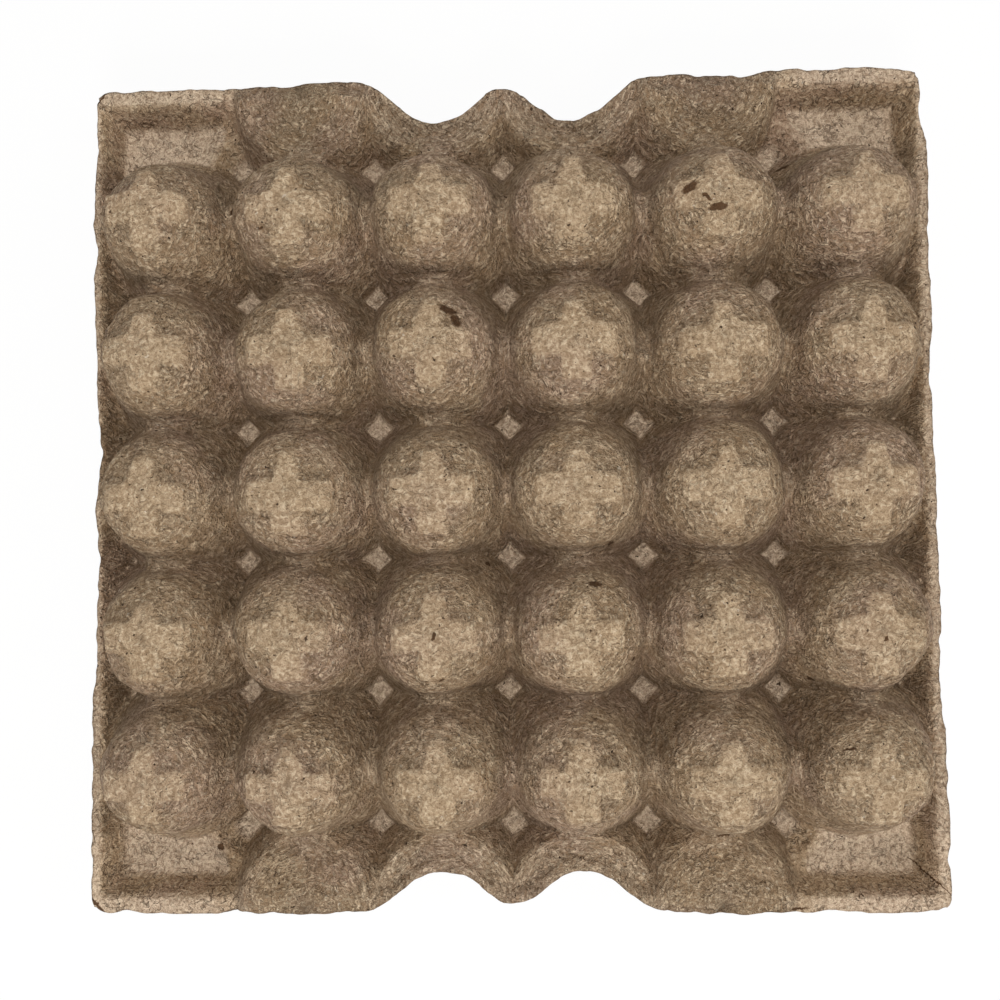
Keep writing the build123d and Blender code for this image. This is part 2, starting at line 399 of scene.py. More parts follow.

# %% [markdown]
# The outline is not straight. The long edges have a wave of two finger notches, worked out
# from the same depth, width and angle as the CAD outline, and every edge wanders by a
# millimetre or two where the sheet shrank as it dried. Points of each edge were read from the
# picture and turned into millimetres with the camera below. The pairs are those, rounded:
# a distance along the edge, and how far out of its straight line the edge lies there.

# %% The ragged outline
BACK_EDGE_OFFSET = (
    (-147.5, -1.0), (-130.0, 0.0), (-45.0, 0.0), (-24.0, -0.9), (0.0, -0.6),
    (24.0, -1.4), (42.0, -1.8), (50.0, -1.6), (58.0, -0.6), (70.0, -2.0),
    (82.0, -2.8), (92.0, -0.4), (130.0, 0.0), (147.5, -1.2),
)
FRONT_EDGE_OFFSET = (
    (-147.5, -0.4), (-120.0, 0.0), (-70.0, -0.2), (-45.0, -0.8), (-24.0, 0.8), (0.0, -0.4),
    (24.0, 0.8), (43.0, -1.6), (60.0, -0.6), (80.0, 0.0), (147.5, 0.0),
)
LEFT_EDGE_OFFSET = (
    (-147.5, 0.0), (-120.0, -0.8), (-90.0, -0.7), (-60.0, -1.9), (-22.0, -3.1),
    (-4.0, -2.2), (16.0, -4.2), (32.0, -2.5), (60.0, -1.8), (77.0, -1.4),
    (88.0, -2.8), (97.0, -1.8), (115.0, -2.5), (147.5, -1.8),
)
RIGHT_EDGE_OFFSET = (
    (-147.5, 0.0), (-84.0, 0.0), (-72.0, -1.6), (-44.0, -0.5), (-20.0, -1.3),
    (8.0, -0.3), (18.0, -1.8), (34.0, -1.8), (52.0, -0.3), (84.0, -1.3),
    (104.0, -0.6), (118.0, -0.9), (128.0, -2.4), (147.5, -2.6),
)
EDGE_INSET = 0.2


def edge_offset(along, pairs):
    """The offset of an edge at a distance along it, on straight lines between its pairs."""
    stations, offsets = zip(*pairs)
    return np.interp(along, stations, offsets)


def long_edge(x, side):
    """The y of the back edge (side 1) or the front edge (side -1) at x."""
    pairs = BACK_EDGE_OFFSET if side > 0 else FRONT_EDGE_OFFSET
    ragged = 0.15 * wander(x, x * 0 + side, 2.6, 41) + 0.4 * wander(x, x * 0 + side, 6.7, 42)
    return side * (notch_line(x) + edge_offset(x, pairs) - EDGE_INSET + ragged)


def short_edge(y, side):
    """The x of the right edge (side 1) or the left edge (side -1) at y."""
    pairs = RIGHT_EDGE_OFFSET if side > 0 else LEFT_EDGE_OFFSET
    ragged = 0.15 * wander(y, y * 0 + side, 2.8, 43) + 0.4 * wander(y, y * 0 + side, 7.1, 44)
    return side * (RIM_LENGTH_X / 2 + edge_offset(y, pairs) - EDGE_INSET + ragged)


print("right edge at the middle of the tray", short_edge(np.zeros(1), 1).round(1))

# %% [markdown]
# The skin starts as a square grid of lines. Over the cups the lines stay straight. Between
# there and the edge they are stretched until the last one lies on the ragged outline, and the
# four corners are rounded.

# %% The grid of the skin
CORNER_RADIUS, CORNER_INSET = 5.0, 0.8
HOLD_X, HOLD_Y = 137.0, 112.0
CELLS_X, MARGIN_X, CELLS_Y, MARGIN_Y = 252, 10, 206, 32


def grid_lines(half, cell_count, margin_count, held):
    """Lines of a grid: evenly spaced over the cups, then over the margin to the edge."""
    inner = np.linspace(-held, held, cell_count + 1)
    outer = np.linspace(held, half, margin_count + 1)[1:]
    return np.concatenate([-outer[::-1], inner, outer])


def warped_grid(xs, ys):
    """Carry a square grid of lines onto the irregular outline, leaving the middle alone."""
    gx, gy = np.meshgrid(xs, ys, indexing="ij")
    px, py = gx.copy(), gy.copy()
    for side in (1, -1):
        t = np.clip((side * gy - HOLD_Y) / (RIM_LENGTH_Y / 2 - HOLD_Y), 0, 1)
        py = np.where(t > 0, side * HOLD_Y + t * (long_edge(gx, side) - side * HOLD_Y), py)
    for side in (1, -1):
        t = np.clip((side * gx - HOLD_X) / (RIM_LENGTH_X / 2 - HOLD_X), 0, 1)
        px = np.where(t > 0, side * HOLD_X + t * (short_edge(py, side) - side * HOLD_X), px)
    away_x = np.abs(px) - (RIM_LENGTH_X / 2 - CORNER_INSET - CORNER_RADIUS)
    away_y = np.abs(py) - (RIM_LENGTH_Y / 2 - CORNER_INSET - CORNER_RADIUS)
    far = np.maximum(away_x, away_y)
    out = (away_x > 0) & (away_y > 0)
    shrink = np.where(out, far / np.maximum(np.hypot(away_x, away_y), 1e-6), 1.0)
    px = np.where(out, px - np.sign(px) * away_x * (1 - shrink), px)
    py = np.where(out, py - np.sign(py) * away_y * (1 - shrink), py)
    return px, py


fine_x = grid_lines(RIM_LENGTH_X / 2, CELLS_X, MARGIN_X, HOLD_X)
fine_y = grid_lines(RIM_LENGTH_Y / 2, CELLS_Y, MARGIN_Y, HOLD_Y)
up_x, up_y = warped_grid(fine_x, fine_y)
low_x, low_y = warped_grid(fine_x[::2], fine_y[::2])
print("upper side", up_x.shape, "lower side", low_x.shape)

# %% [markdown]
# The skin is one closed mesh. The upper side is a fine grid of heights, about one millimetre
# a step, and the lower side is half as fine. Each four-sided cell is cut along the diagonal
# whose ends are nearer in height, so the cuts run along the contours and steep flanks stay
# smooth. The two sides are stitched together round the edge.

# %% Build the skin
def cut_cells(rows_of_ids, heights, flip):
    """Two triangles for each cell of a grid, cut along the flatter diagonal."""
    a, b = rows_of_ids[:-1, :-1], rows_of_ids[1:, :-1]
    c, d = rows_of_ids[1:, 1:], rows_of_ids[:-1, 1:]
    first = np.abs(heights[:-1, :-1] - heights[1:, 1:]) <= np.abs(heights[1:, :-1] - heights[:-1, 1:])
    one = np.where(first[..., None], np.stack([a, b, c], -1), np.stack([a, b, d], -1))
    two = np.where(first[..., None], np.stack([a, c, d], -1), np.stack([b, c, d], -1))
    faces = np.concatenate([one.reshape(-1, 3), two.reshape(-1, 3)])
    return faces[:, ::-1] if flip else faces


def border(ids):
    """The ids round a grid's edge, counterclockwise."""
    return np.concatenate([ids[:-1, 0], ids[-1, :-1], ids[:0:-1, -1], ids[0, :0:-1]])


THINNEST = 0.9
up_z = sheet_height(up_x, up_y, False)
low_z = sheet_height(low_x, low_y, True)
low_z = np.minimum(low_z, up_z[::2, ::2] - THINNEST)
low_z = np.maximum(low_z, 0.0)

up_ids = np.arange(up_x.size).reshape(up_x.shape)
low_ids = up_x.size + np.arange(low_x.size).reshape(low_x.shape)
ring, low_ring = border(up_ids), border(low_ids)
triangles = [cut_cells(up_ids, up_z, False), cut_cells(low_ids, low_z, True)]
start, middle, end = ring[0::2], ring[1::2], np.roll(ring, -2)[0::2]
here, there = low_ring, np.roll(low_ring, -1)
triangles.append(np.stack([start, here, middle], -1))
triangles.append(np.stack([middle, here, there], -1))
triangles.append(np.stack([middle, there, end], -1))
faces = np.concatenate(triangles)
points = np.concatenate([
    np.stack([up_x, up_y, up_z], -1).reshape(-1, 3),
    np.stack([low_x, low_y, low_z], -1).reshape(-1, 3),
])

mesh = bpy.data.meshes.new("pulp_tray")
mesh.from_pydata((points * MM).tolist(), [], faces.tolist())
mesh.shade_smooth()
tray = bpy.data.objects.new("pulp_tray", mesh)
bpy.context.collection.objects.link(tray)
print("triangles", len(faces))

# %% [markdown]
# The wrinkles and the finish are both chains of small nodes. Adding, setting and linking one
# takes several lines, so a small class holds a node tree and adds the kinds used here.

# %% A short way to add nodes
class Wiring:
    """A node tree, with short ways to add and link the nodes that this scene uses."""

    def __init__(self, tree):
        self.tree = tree

    def add(self, kind, **settings):
        """A new node, with some of its properties set."""
        node = self.tree.nodes.new(kind)
        for name, value in settings.items():
            setattr(node, name, value)
        return node

    def put(self, value, socket):
        """Link an output to a socket, or set the socket to a plain value."""
        if hasattr(value, "links"):
            self.tree.links.new(value, socket)
        else:
            socket.default_value = value

    def fill(self, node, values):
        """Put a value or an output into each named or numbered input of a node."""
        for name, value in values.items():
            self.put(value, node.inputs[name])
        return node

    def maths(self, kind, a, b=0.0, c=0.0):
        """The result of one Math node."""
        return self.fill(self.add("ShaderNodeMath", operation=kind), {0: a, 1: b, 2: c}).outputs[0]

    def vector(self, kind, *values):
        """The result of one Vector Math node."""
        node = self.add("ShaderNodeVectorMath", operation=kind)
        return self.fill(node, dict(enumerate(values))).outputs[0]

    def measure(self, kind, *values):
        """The number that a Vector Math node gives, such as a length or a dot product."""
        node = self.add("ShaderNodeVectorMath", operation=kind)
        return self.fill(node, dict(enumerate(values))).outputs["Value"]


def new_group(name, kind, inputs, outputs):
    """An empty node group with named inputs and outputs, and what stands for them inside."""
    wire = Wiring(bpy.data.node_groups.new(name, kind))
    for in_out, sockets in (("INPUT", inputs), ("OUTPUT", outputs)):
        for label, value_type in sockets.items():
            socket_type = "NodeSocket" + value_type
            wire.tree.interface.new_socket(label, in_out=in_out, socket_type=socket_type)
    return wire, wire.add("NodeGroupInput").outputs, wire.add("NodeGroupOutput").inputs


print("short ways to add nodes:", [name for name in vars(Wiring) if not name.startswith("_")])

# %% [markdown]
# Drying leaves wrinkles that follow the contours of the cups, and soft lumps. A Geometry Nodes
# group moves each point along its normal by two noises. The wrinkle noise is squeezed in
# height, which lays its ridges level round every flank without any need to know the cups. The
# tray stands on its lower side, so points that touch the floor are not loose and stay put.

# %% The wrinkle group
def wrinkle_group():
    """Moves the loose points of a mesh along their normals by wrinkles and lumps."""
    sizes = ("Wrinkle Height", "Wrinkle Size", "Height Squeeze", "Lump Height", "Lump Size", "Seed")
    inputs = {"Geometry": "Geometry", **{name: "Float" for name in sizes}, "Material": "Material"}
    wire, given, made = new_group("pulp_wrinkles", "GeometryNodeTree", inputs, {"Geometry": "Geometry"})
    place = wire.add("GeometryNodeInputPosition").outputs[0]
    stretch = wire.add("ShaderNodeCombineXYZ")
    wire.fill(stretch, {"X": 1.0, "Y": 1.0, "Z": given["Height Squeeze"]})
    squeezed = wire.vector("MULTIPLY", place, stretch.outputs[0])

    def noise(source, name):
        """A noise about nought, of the group's own size and height for it."""
        texture = wire.add("ShaderNodeTexNoise", noise_dimensions="4D")
        scale = wire.maths("DIVIDE", 1.0, given[name + " Size"])
        wire.fill(texture, {"Vector": source, "W": given["Seed"], "Scale": scale, "Detail": 2.0})
        centred = wire.maths("SUBTRACT", texture.outputs[0], 0.5)
        return wire.maths("MULTIPLY", centred, given[name + " Height"])

    total = wire.maths("ADD", noise(squeezed, "Wrinkle"), noise(place, "Lump"))
    loose = wire.add("GeometryNodeInputNamedAttribute", data_type="FLOAT")
    loose.inputs["Name"].default_value = "loose"
    amount = wire.maths("MULTIPLY", total, loose.outputs["Attribute"])
    push = wire.add("ShaderNodeVectorMath", operation="SCALE")
    wire.fill(push, {0: wire.add("GeometryNodeInputNormal").outputs[0], "Scale": amount})
    move = wire.add("GeometryNodeSetPosition")
    wire.fill(move, {"Geometry": given["Geometry"], "Offset": push.outputs[0]})
    real = wire.fill(wire.add("GeometryNodeRealizeInstances"), {0: move.outputs[0]})
    coat = wire.add("GeometryNodeSetMaterial")
    wire.fill(coat, {"Geometry": real.outputs[0], "Material": given["Material"]})
    wire.put(coat.outputs[0], made[0])
    return wire.tree


def socket_id(group, name):
    """The identifier by which a modifier knows a named input."""
    for item in group.interface.items_tree:
        if item.item_type == "SOCKET" and item.in_out == "INPUT" and item.name == name:
            return item.identifier
    raise KeyError(name)


wrinkling = wrinkle_group()
print("wrinkle group nodes", len(wrinkling.nodes))

# %% [markdown]
# The camera stands where the picture was taken from. Its place, turn and lens were fitted to
# the grid of cups in the picture. With it, a pixel and a height give a place on the tray, so
# what was read from the picture can be written down as it was read.

# %% The picture's camera
PICTURE_WIDTH = 1000
CAMERA_PLACE = (0.010927, -0.016906, 0.372292)
CAMERA_TURN = (0.037, 0.039, -0.015)
CAMERA_LENS, CAMERA_SENSOR = 36.62, 36.0


def seen_at(across, down, height):
    """The place in metres that the camera sees at a pixel, on a level height in millimetres."""
    half = PICTURE_WIDTH / 2
    focal = CAMERA_LENS / CAMERA_SENSOR * PICTURE_WIDTH
    ray = Euler(CAMERA_TURN).to_matrix() @ Vector(((across - half) / focal, (half - down) / focal, -1.0))
    reach = (height * MM - CAMERA_PLACE[2]) / ray.z
    return CAMERA_PLACE[0] + ray.x * reach, CAMERA_PLACE[1] + ray.y * reach, 0.0


print("middle of the picture, at the floor", [round(v, 4) for v in seen_at(500, 500, 0)])

# %% [markdown]
# Dark stains, tears and cracked corners are part of this tray. Each was read from the picture:
# its pixel, about how high on the tray it lies, its turn in degrees, and its length and
# width in millimetres. A shader group tells how far a point is from an oval mark, with two dot
# products. A Mapping node could turn and scale a mark too, but it works out its sines again at
# each hit, which is a little slower to render.

# %% Stains and tears
STAINS = (
    ((448, 310, 42), -25, 7.0, 2.6), ((456, 321, 42), -60, 5.0, 3.0),
    ((689, 190, 42), 35, 6.2, 2.8), ((718, 207, 45), 10, 6.4, 2.6),
    ((706, 198, 44), -40, 4.0, 1.2), ((594, 583, 33), -4, 4.6, 1.7),
    ((815, 681, 25), -35, 3.2, 0.7), ((233, 212, 26), 60, 3.0, 1.6),
    ((157, 297, 26), 30, 2.4, 1.8), ((505, 192, 30), -60, 2.2, 0.8),
    ((885, 638, 44), 70, 2.6, 1.0), ((888, 828, 36), 20, 2.4, 0.9),
    ((845, 745, 35), 5, 4.6, 0.8), ((261, 228, 42), 20, 1.8, 0.8),
    ((225, 843, 3), 0, 3.0, 2.4), ((632, 657, 30), 80, 1.8, 1.0),
    ((726, 840, 26), 10, 5.0, 0.9), ((434, 636, 45), 75, 3.4, 1.3),
    ((443, 678, 36), 40, 2.6, 0.8), ((612, 543, 33), 25, 2.6, 1.3),
    ((486, 565, 25), -50, 2.4, 0.9), ((100, 99, 20), 48, 9.0, 0.8),
    ((98, 907, 20), -48, 10.0, 1.0), ((938, 883, 20), -42, 14.0, 0.6),
    ((918, 74, 20), -45, 7.0, 0.7), ((800, 909, 20), 3, 6.0, 0.7),
    ((117, 403, 15), 70, 3.0, 0.8), ((778, 175, 4), 15, 5.0, 1.6),
)
STAIN_RAGGEDNESS, STAIN_NOISE_SCALE, FAR_OFF = 0.0016, 700.0, 100.0


def stain_group():
    """The square of a point's distance from the middle of an oval, which is one on its edge."""
    inputs = {name: "Vector" for name in ("Point", "Place", "Along", "Across")}
    outputs = {"Distance Squared": "Float"}
    wire, given, made = new_group("pulp_stain", "ShaderNodeTree", inputs, outputs)
    from_place = wire.vector("SUBTRACT", given["Point"], given["Place"])
    along = wire.measure("DOT_PRODUCT", from_place, given["Along"])
    across = wire.measure("DOT_PRODUCT", from_place, given["Across"])
    squared = wire.maths("MULTIPLY_ADD", along, along, wire.maths("MULTIPLY", across, across))
    wire.put(squared, made["Distance Squared"])
    return wire.tree


stain_shape = stain_group()
print("stains and tears", len(STAINS))

# %% [markdown]
# The sheet shrank round each dome of the mould, which left fine ridges that run level round
# the cups. They are a noise in a space of its own: its third axis is the distance from the
# nearest cup's axis, and its first two turn slowly round that axis.

# %% Ridges round the cups
def ridge_group():
    """Ridges that run level round each cup of a square grid with an odd number of rows."""
    inputs = {name: "Float" for name in ("Pitch", "Stretch", "Size")}
    wire, given, made = new_group("cup_ridges", "ShaderNodeTree", inputs, {"Ridges": "Float"})
    place = wire.add("ShaderNodeTexCoord").outputs["Object"]
    flat = wire.vector("MULTIPLY", place, (1, 1, 0))
    cell = wire.vector("ADD", wire.vector("DIVIDE", flat, given["Pitch"]), (0, 0.5, 0))
    centre = wire.vector("SUBTRACT", wire.vector("FRACTION", cell), (0.5, 0.5, 0))
    local = wire.vector("MULTIPLY", wire.vector("MULTIPLY", centre, given["Pitch"]), (1, 1, 0))
    reach = wire.fill(wire.add("ShaderNodeCombineXYZ"), {"Z": wire.measure("LENGTH", local)}).outputs[0]
    around = wire.vector("MULTIPLY", wire.vector("NORMALIZE", local), given["Stretch"])
    apart = wire.vector("MULTIPLY", wire.vector("FLOOR", cell), (0.17, 0.23, 0))
    ring_place = wire.vector("ADD", wire.vector("ADD", around, apart), reach)
    noise = wire.add("ShaderNodeTexNoise")
    wire.fill(noise, {"Vector": wire.vector("DIVIDE", ring_place, given["Size"]), "Scale": 1.0})
    wire.fill(noise, {"Detail": 2.0, "Roughness": 0.55, "Distortion": 0.6})
    wire.put(noise.outputs[0], made["Ridges"])
    return wire.tree


ridge_shape = ridge_group()
print("ridge group nodes", len(ridge_shape.nodes))

# %% [markdown]
# The finish needs a few more kinds of shader node: noise in the tray's own coordinates, folds
# where a noise passes its middle, a mask from the mesh, a mix of colours and a change of range.

# %% Short ways to add shader nodes
class Finish(Wiring):
    """A material's node tree, with short ways to add patterns and mixes."""

    def __init__(self, tree):
        super().__init__(tree)
        tree.nodes.clear()
        self.place = self.add("ShaderNodeTexCoord").outputs["Object"]

    def noise(self, size, detail, squeeze=1.0, twist=0.0, rough=0.5):
        """Noise with lumps of a size in metres, squeezed in height."""
        spread = self.vector("MULTIPLY", self.place, (1 / size, 1 / size, squeeze / size))
        texture = self.add("ShaderNodeTexNoise")
        self.fill(texture, {"Vector": spread, "Scale": 1.0, "Detail": detail})
        return self.fill(texture, {"Roughness": rough, "Distortion": twist}).outputs[0]

    def fold(self, source, width):
        """One where a noise passes its middle, nought away from it."""
        away = self.maths("ABSOLUTE", self.maths("SUBTRACT", source, 0.5))
        held = self.maths("SMOOTH_MIN", self.maths("DIVIDE", away, width), 1.0, 0.3)
        return self.maths("SUBTRACT", 1.0, held)

    def mask(self, name):
        """A value that goes with each point of the mesh."""
        return self.add("ShaderNodeAttribute", attribute_name=name).outputs["Fac"]

    def mix(self, share, a, b):
        """Colour a, with a share of colour b over it."""
        node = self.add("ShaderNodeMix", data_type="RGBA", blend_type="MIX")
        return self.fill(node, {0: share, 6: a, 7: b}).outputs[2]

    def span(self, source, low, high, to_low=0.0, to_high=1.0):
        """A value carried from one range to another and held within it."""
        node = self.add("ShaderNodeMapRange")
        self.fill(node, {"Value": source, "From Min": low, "From Max": high})
        return self.fill(node, {"To Min": to_low, "To Max": to_high}).outputs[0]

    def less(self, share, mask, amount):
        """A share that is lowered by an amount where a mask is one."""
        kept = self.maths("SUBTRACT", 1.0, self.maths("MULTIPLY", mask, amount))
        return self.maths("MULTIPLY", share, kept)


paint = bpy.data.materials.new("moulded_pulp")
paint.use_nodes = True
pulp = Finish(paint.node_tree)
print("new material", paint.name)

# %% [markdown]
# Four patterns are shared by the colour and the bump: the ridges round the cups, creases where
# the sheet folded, short wrinkles, and the fuzz of single fibres. Where the mould pressed the
# pulp smooth, the mesh's value calm holds the creases and the ridges back.

# %% Patterns in the pulp
RIDGE_STRETCH, RIDGE_SIZE = 0.0065, 0.00085
calm_mask = pulp.mask("calm")
level = pulp.add("ShaderNodeGroup", node_tree=ridge_shape)
pulp.fill(level, {"Pitch": PITCH * MM, "Stretch": RIDGE_STRETCH, "Size": RIDGE_SIZE})
ridges = level.outputs["Ridges"]
ridge_share = pulp.less(pulp.mask("ringed"), calm_mask, 0.75)
patches = pulp.span(pulp.noise(0.006, 1.0), 0.44, 0.54, 0.15, 1.0)
long_creases = pulp.maths("MULTIPLY", pulp.fold(pulp.noise(0.0042, 3.0, 0.75, 0.9), 0.026), patches)
short_creases = pulp.maths("MULTIPLY", pulp.fold(ridges, 0.05), pulp.maths("MULTIPLY", ridge_share, 0.5))
creases = pulp.less(pulp.maths("MAXIMUM", long_creases, short_creases), calm_mask, 0.6)
wrinkles = pulp.noise(0.0014, 3.0, 0.7, 0.5, 0.6)
fuzz = pulp.noise(0.0005, 2.0, 0.6, 0.0, 0.7)
print("nodes for the patterns", len(paint.node_tree.nodes))

# %% [markdown]
# Pulp is grey brown with a faint pink cast, mottled by clumps of fibre. The colour is a pile of
# layers, each a share and a colour laid over those before it: clumps and pink patches, the
# pressed parts and painted light on the flats, then painted shade in the low parts of wrinkles,
# fuzz and ridges and painted highlight on the high parts of wrinkles and ridges, painted shade in
# the recesses and the creases, the specks and flecks of waste paper, and last painted shade on
# the steep flanks.

# %% Colour of the pulp
CLUMP_DARK, CLUMP_LIGHT = (0.47, 0.335, 0.205, 1), (0.56, 0.42, 0.275, 1)
# The last tint here is painted light: it makes the floors, ledges, rim and saddles paler.
PINK, PRESSED, PAINTED_LIGHT_TINT = (0.50, 0.35, 0.255, 1), (0.425, 0.32, 0.208, 1), (0.68, 0.54, 0.41, 1)
# Painted shade and painted highlight for the low and high parts of the wrinkles.
WRINKLE_SHADE, WRINKLE_HIGHLIGHT = (0.17, 0.105, 0.055, 1), (0.70, 0.57, 0.41, 1)
# Painted shade: for the low parts of the fibre fuzz, for recesses and for creases.
FUZZ_SHADE, RECESS_SHADE, CREASE_SHADE = (0.16, 0.095, 0.05, 1), (0.15, 0.09, 0.048, 1), (0.10, 0.055, 0.026, 1)
# Painted shade and painted highlight for the low and high sides of the ridges.
RIDGE_SHADE, RIDGE_HIGHLIGHT = (0.20, 0.125, 0.068, 1), (0.70, 0.56, 0.40, 1)
# The last tint here is painted shade for the steep flanks.
SPECK, FLECK, FLANK_SHADE = (0.06, 0.035, 0.02, 1), (0.62, 0.53, 0.42, 1), (0.25, 0.155, 0.085, 1)
STAIN = (0.075, 0.035, 0.014, 1)

facing = pulp.add("ShaderNodeSeparateXYZ")
pulp.put(pulp.add("ShaderNodeNewGeometry").outputs["Normal"], facing.inputs[0])
upright = pulp.maths("ABSOLUTE", facing.outputs[2])
layers = (
    (pulp.span(pulp.noise(0.03, 2.0), 0.45, 0.62, 0.0, 0.8), PINK),
    (pulp.maths("MULTIPLY", calm_mask, 0.7), PRESSED),
    # Painted light on the floors, ledges, rim and saddle middles.
    (pulp.maths("MULTIPLY", pulp.mask("pale"), 0.75), PAINTED_LIGHT_TINT),
    # Painted shade in the low parts of the wrinkles.
    (pulp.span(wrinkles, 0.34, 0.52, 0.6, 0.0), WRINKLE_SHADE),
    # Painted shade in the low parts of the fibre fuzz.
    (pulp.span(fuzz, 0.38, 0.56, 0.5, 0.0), FUZZ_SHADE),
    # Painted highlight on the high parts of the wrinkles.
    (pulp.span(wrinkles, 0.53, 0.66, 0.0, 0.55), WRINKLE_HIGHLIGHT),
    # Painted shade on the low sides of the ridges.
    (pulp.maths("MULTIPLY", pulp.span(ridges, 0.36, 0.5, 0.7, 0.0), ridge_share), RIDGE_SHADE),
    # Painted highlight on the high sides of the ridges.
    (pulp.maths("MULTIPLY", pulp.span(ridges, 0.56, 0.68, 0.0, 0.3), ridge_share), RIDGE_HIGHLIGHT),
    # Painted shade in recesses, in the bowls and along the edge of the skin.
    (pulp.maths("MULTIPLY", pulp.mask("recess"), 0.3), RECESS_SHADE),
    # Painted shade in the creases.
    (pulp.maths("MULTIPLY", creases, 0.62), CREASE_SHADE),
    (pulp.span(pulp.noise(0.0014, 1.0), 0.725, 0.75), SPECK),
    (pulp.maths("MULTIPLY", pulp.span(pulp.noise(0.0019, 1.0, 1.0, 0.4), 0.24, 0.23), 0.6), FLECK),
    # Painted shade on steep flanks, growing as the surface turns from level.
    (pulp.span(upright, 0.9, 0.3, 0.0, 0.15), FLANK_SHADE),
)
colour = pulp.mix(pulp.span(pulp.noise(0.012, 4.0), 0.35, 0.65), CLUMP_DARK, CLUMP_LIGHT)
for share, tint in layers:
    colour = pulp.mix(share, colour, tint)
print("layers of colour", len(layers) + 1)

# %% [markdown]
# The stains lie over all of that. Each is one copy of the stain group, and the nearest one
# counts. One noise shifts the points that are tested, which makes all their edges ragged.

# %% Lay the stains on
ragged = pulp.fill(pulp.add("ShaderNodeTexNoise"), {"Vector": pulp.place, "Scale": STAIN_NOISE_SCALE})
strength = (STAIN_RAGGEDNESS, STAIN_RAGGEDNESS, 0.0)
shifted = pulp.vector("MULTIPLY_ADD", ragged.outputs["Color"], strength, pulp.place)
ragged_place = pulp.vector("SUBTRACT", shifted, (STAIN_RAGGEDNESS / 2, STAIN_RAGGEDNESS / 2, 0.0))
nearest = FAR_OFF
for pixel, turn, length, width in STAINS:
    mark = pulp.add("ShaderNodeGroup", node_tree=stain_shape)
    lie_x, lie_y = cos(radians(turn)), sin(radians(turn))
    half_length, half_width = length * MM / 2, width * MM / 2
    pulp.fill(mark, {"Point": ragged_place, "Place": seen_at(*pixel)})
    pulp.fill(mark, {"Along": (lie_x / half_length, lie_y / half_length, 0)})
    pulp.fill(mark, {"Across": (-lie_y / half_width, lie_x / half_width, 0)})
    nearest = pulp.maths("MINIMUM", nearest, mark.outputs["Distance Squared"])
stained = pulp.span(pulp.maths("SQRT", nearest), 1.1, 0.8)
colour = pulp.mix(pulp.maths("MULTIPLY", stained, 0.95), colour, STAIN)
print("first stain at", [round(v / MM, 1) for v in seen_at(*STAINS[0][0])])

# %% [markdown]
# The same patterns make the relief. Pulp is dull, so the surface is rough and hardly shines.

# %% Relief of the pulp
RELIEF_DEPTH = 0.0013
shade = pulp.add("ShaderNodeBsdfPrincipled")
wrinkle_depth = pulp.maths("SUBTRACT", 1.7, pulp.maths("MULTIPLY", calm_mask, 0.8))
relief = pulp.maths("MULTIPLY_ADD", wrinkles, wrinkle_depth, pulp.maths("MULTIPLY", fuzz, 0.35))
relief = pulp.maths("MULTIPLY_ADD", pulp.maths("MULTIPLY", ridges, ridge_share), 1.5, relief)
relief = pulp.maths("MULTIPLY_ADD", creases, -0.6, relief)
bump = pulp.add("ShaderNodeBump")
pulp.fill(bump, {"Strength": 1.0, "Distance": RELIEF_DEPTH, "Height": relief})
pulp.fill(shade, {"Base Color": colour, "Normal": bump.outputs[0]})
pulp.fill(shade, {"Roughness": 0.95, "Specular IOR Level": 0.2})
pulp.put(shade.outputs[0], pulp.add("ShaderNodeOutputMaterial").inputs[0])
print("nodes in the pulp's finish", len(paint.node_tree.nodes))

# %% [markdown]
# Some of the finish depends on the form, so five values go with each point of the skin. One
# says whether it may wrinkle. The others say where the mould pressed the pulp smooth, how much
# painted shade a point gets from lying below its surroundings, where ridges run round a cup,
# and where painted light makes the pulp paler.

# %% How deep a point lies
RECESS_REACH, RECESS_START, RECESS_RANGE = 12, 1.5, 14.0


def spread_out(values, reach):
    """The mean of a grid over a square of so many cells to each side."""
    for axis in (0, 1):
        margins = [(reach + 1, reach) if a == axis else (0, 0) for a in (0, 1)]
        total = np.cumsum(np.pad(values, margins, mode="edge"), axis=axis)
        size = 2 * reach + 1
        ahead = np.take(total, range(size, total.shape[axis]), axis=axis)
        behind = np.take(total, range(0, total.shape[axis] - size), axis=axis)
        values = (ahead - behind) / size
    return values


below = spread_out(up_z, RECESS_REACH) - up_z
print("deepest point below its surroundings", round(float(below.max()), 1))

# %% [markdown]
# The mould pressed the floors between the cups, the ledges of the corner pockets and the rim
# as well as the crosses. Floors, ledges and rim also get painted light. The bowl in each ledge
# is rough instead, and gets painted shade.

# %% Floors, ledges, bowls and rim
low_floor = 1 - ramp(up_z, WALL + 0.6, WALL + 2.0)
in_pocket = (np.abs(up_x) > CORNER_POST_X + 8) & (np.abs(up_y) > row_y(ROWS - 1) + 12)
ledge_flat = in_pocket * (1 - ramp(up_z, LEDGE_HEIGHT + 1.5, LEDGE_HEIGHT + 3.5))
from_post = np.hypot(np.abs(up_x) - CORNER_POST_X, np.abs(up_y) - CORNER_POST_Y)
bowl = (1 - ramp(from_post, BOWL_RIM - 0.6, BOWL_RIM + 0.6)) * ramp(from_post, BOWL_FLOOR - 1, BOWL_FLOOR + 1)
bowl = bowl * (1 - ramp(up_z, LEDGE_HEIGHT + BOWL_LIP, LEDGE_HEIGHT + BOWL_LIP + 2))
outside = np.maximum(np.abs(up_x) - RIM_WALL_X / 2, np.abs(up_y) - RIM_WALL_Y / 2)
plain_rim = ramp(outside, -0.5, 0.8) * ramp(np.abs(up_x), CORNER_POST_X - 4, CORNER_POST_X + 12)
notched_rim = ramp(up_z, RIM_HEIGHT - 3.5, RIM_HEIGHT - 2) * (1 - ramp(np.abs(up_x), PITCH - 4, PITCH + 10))
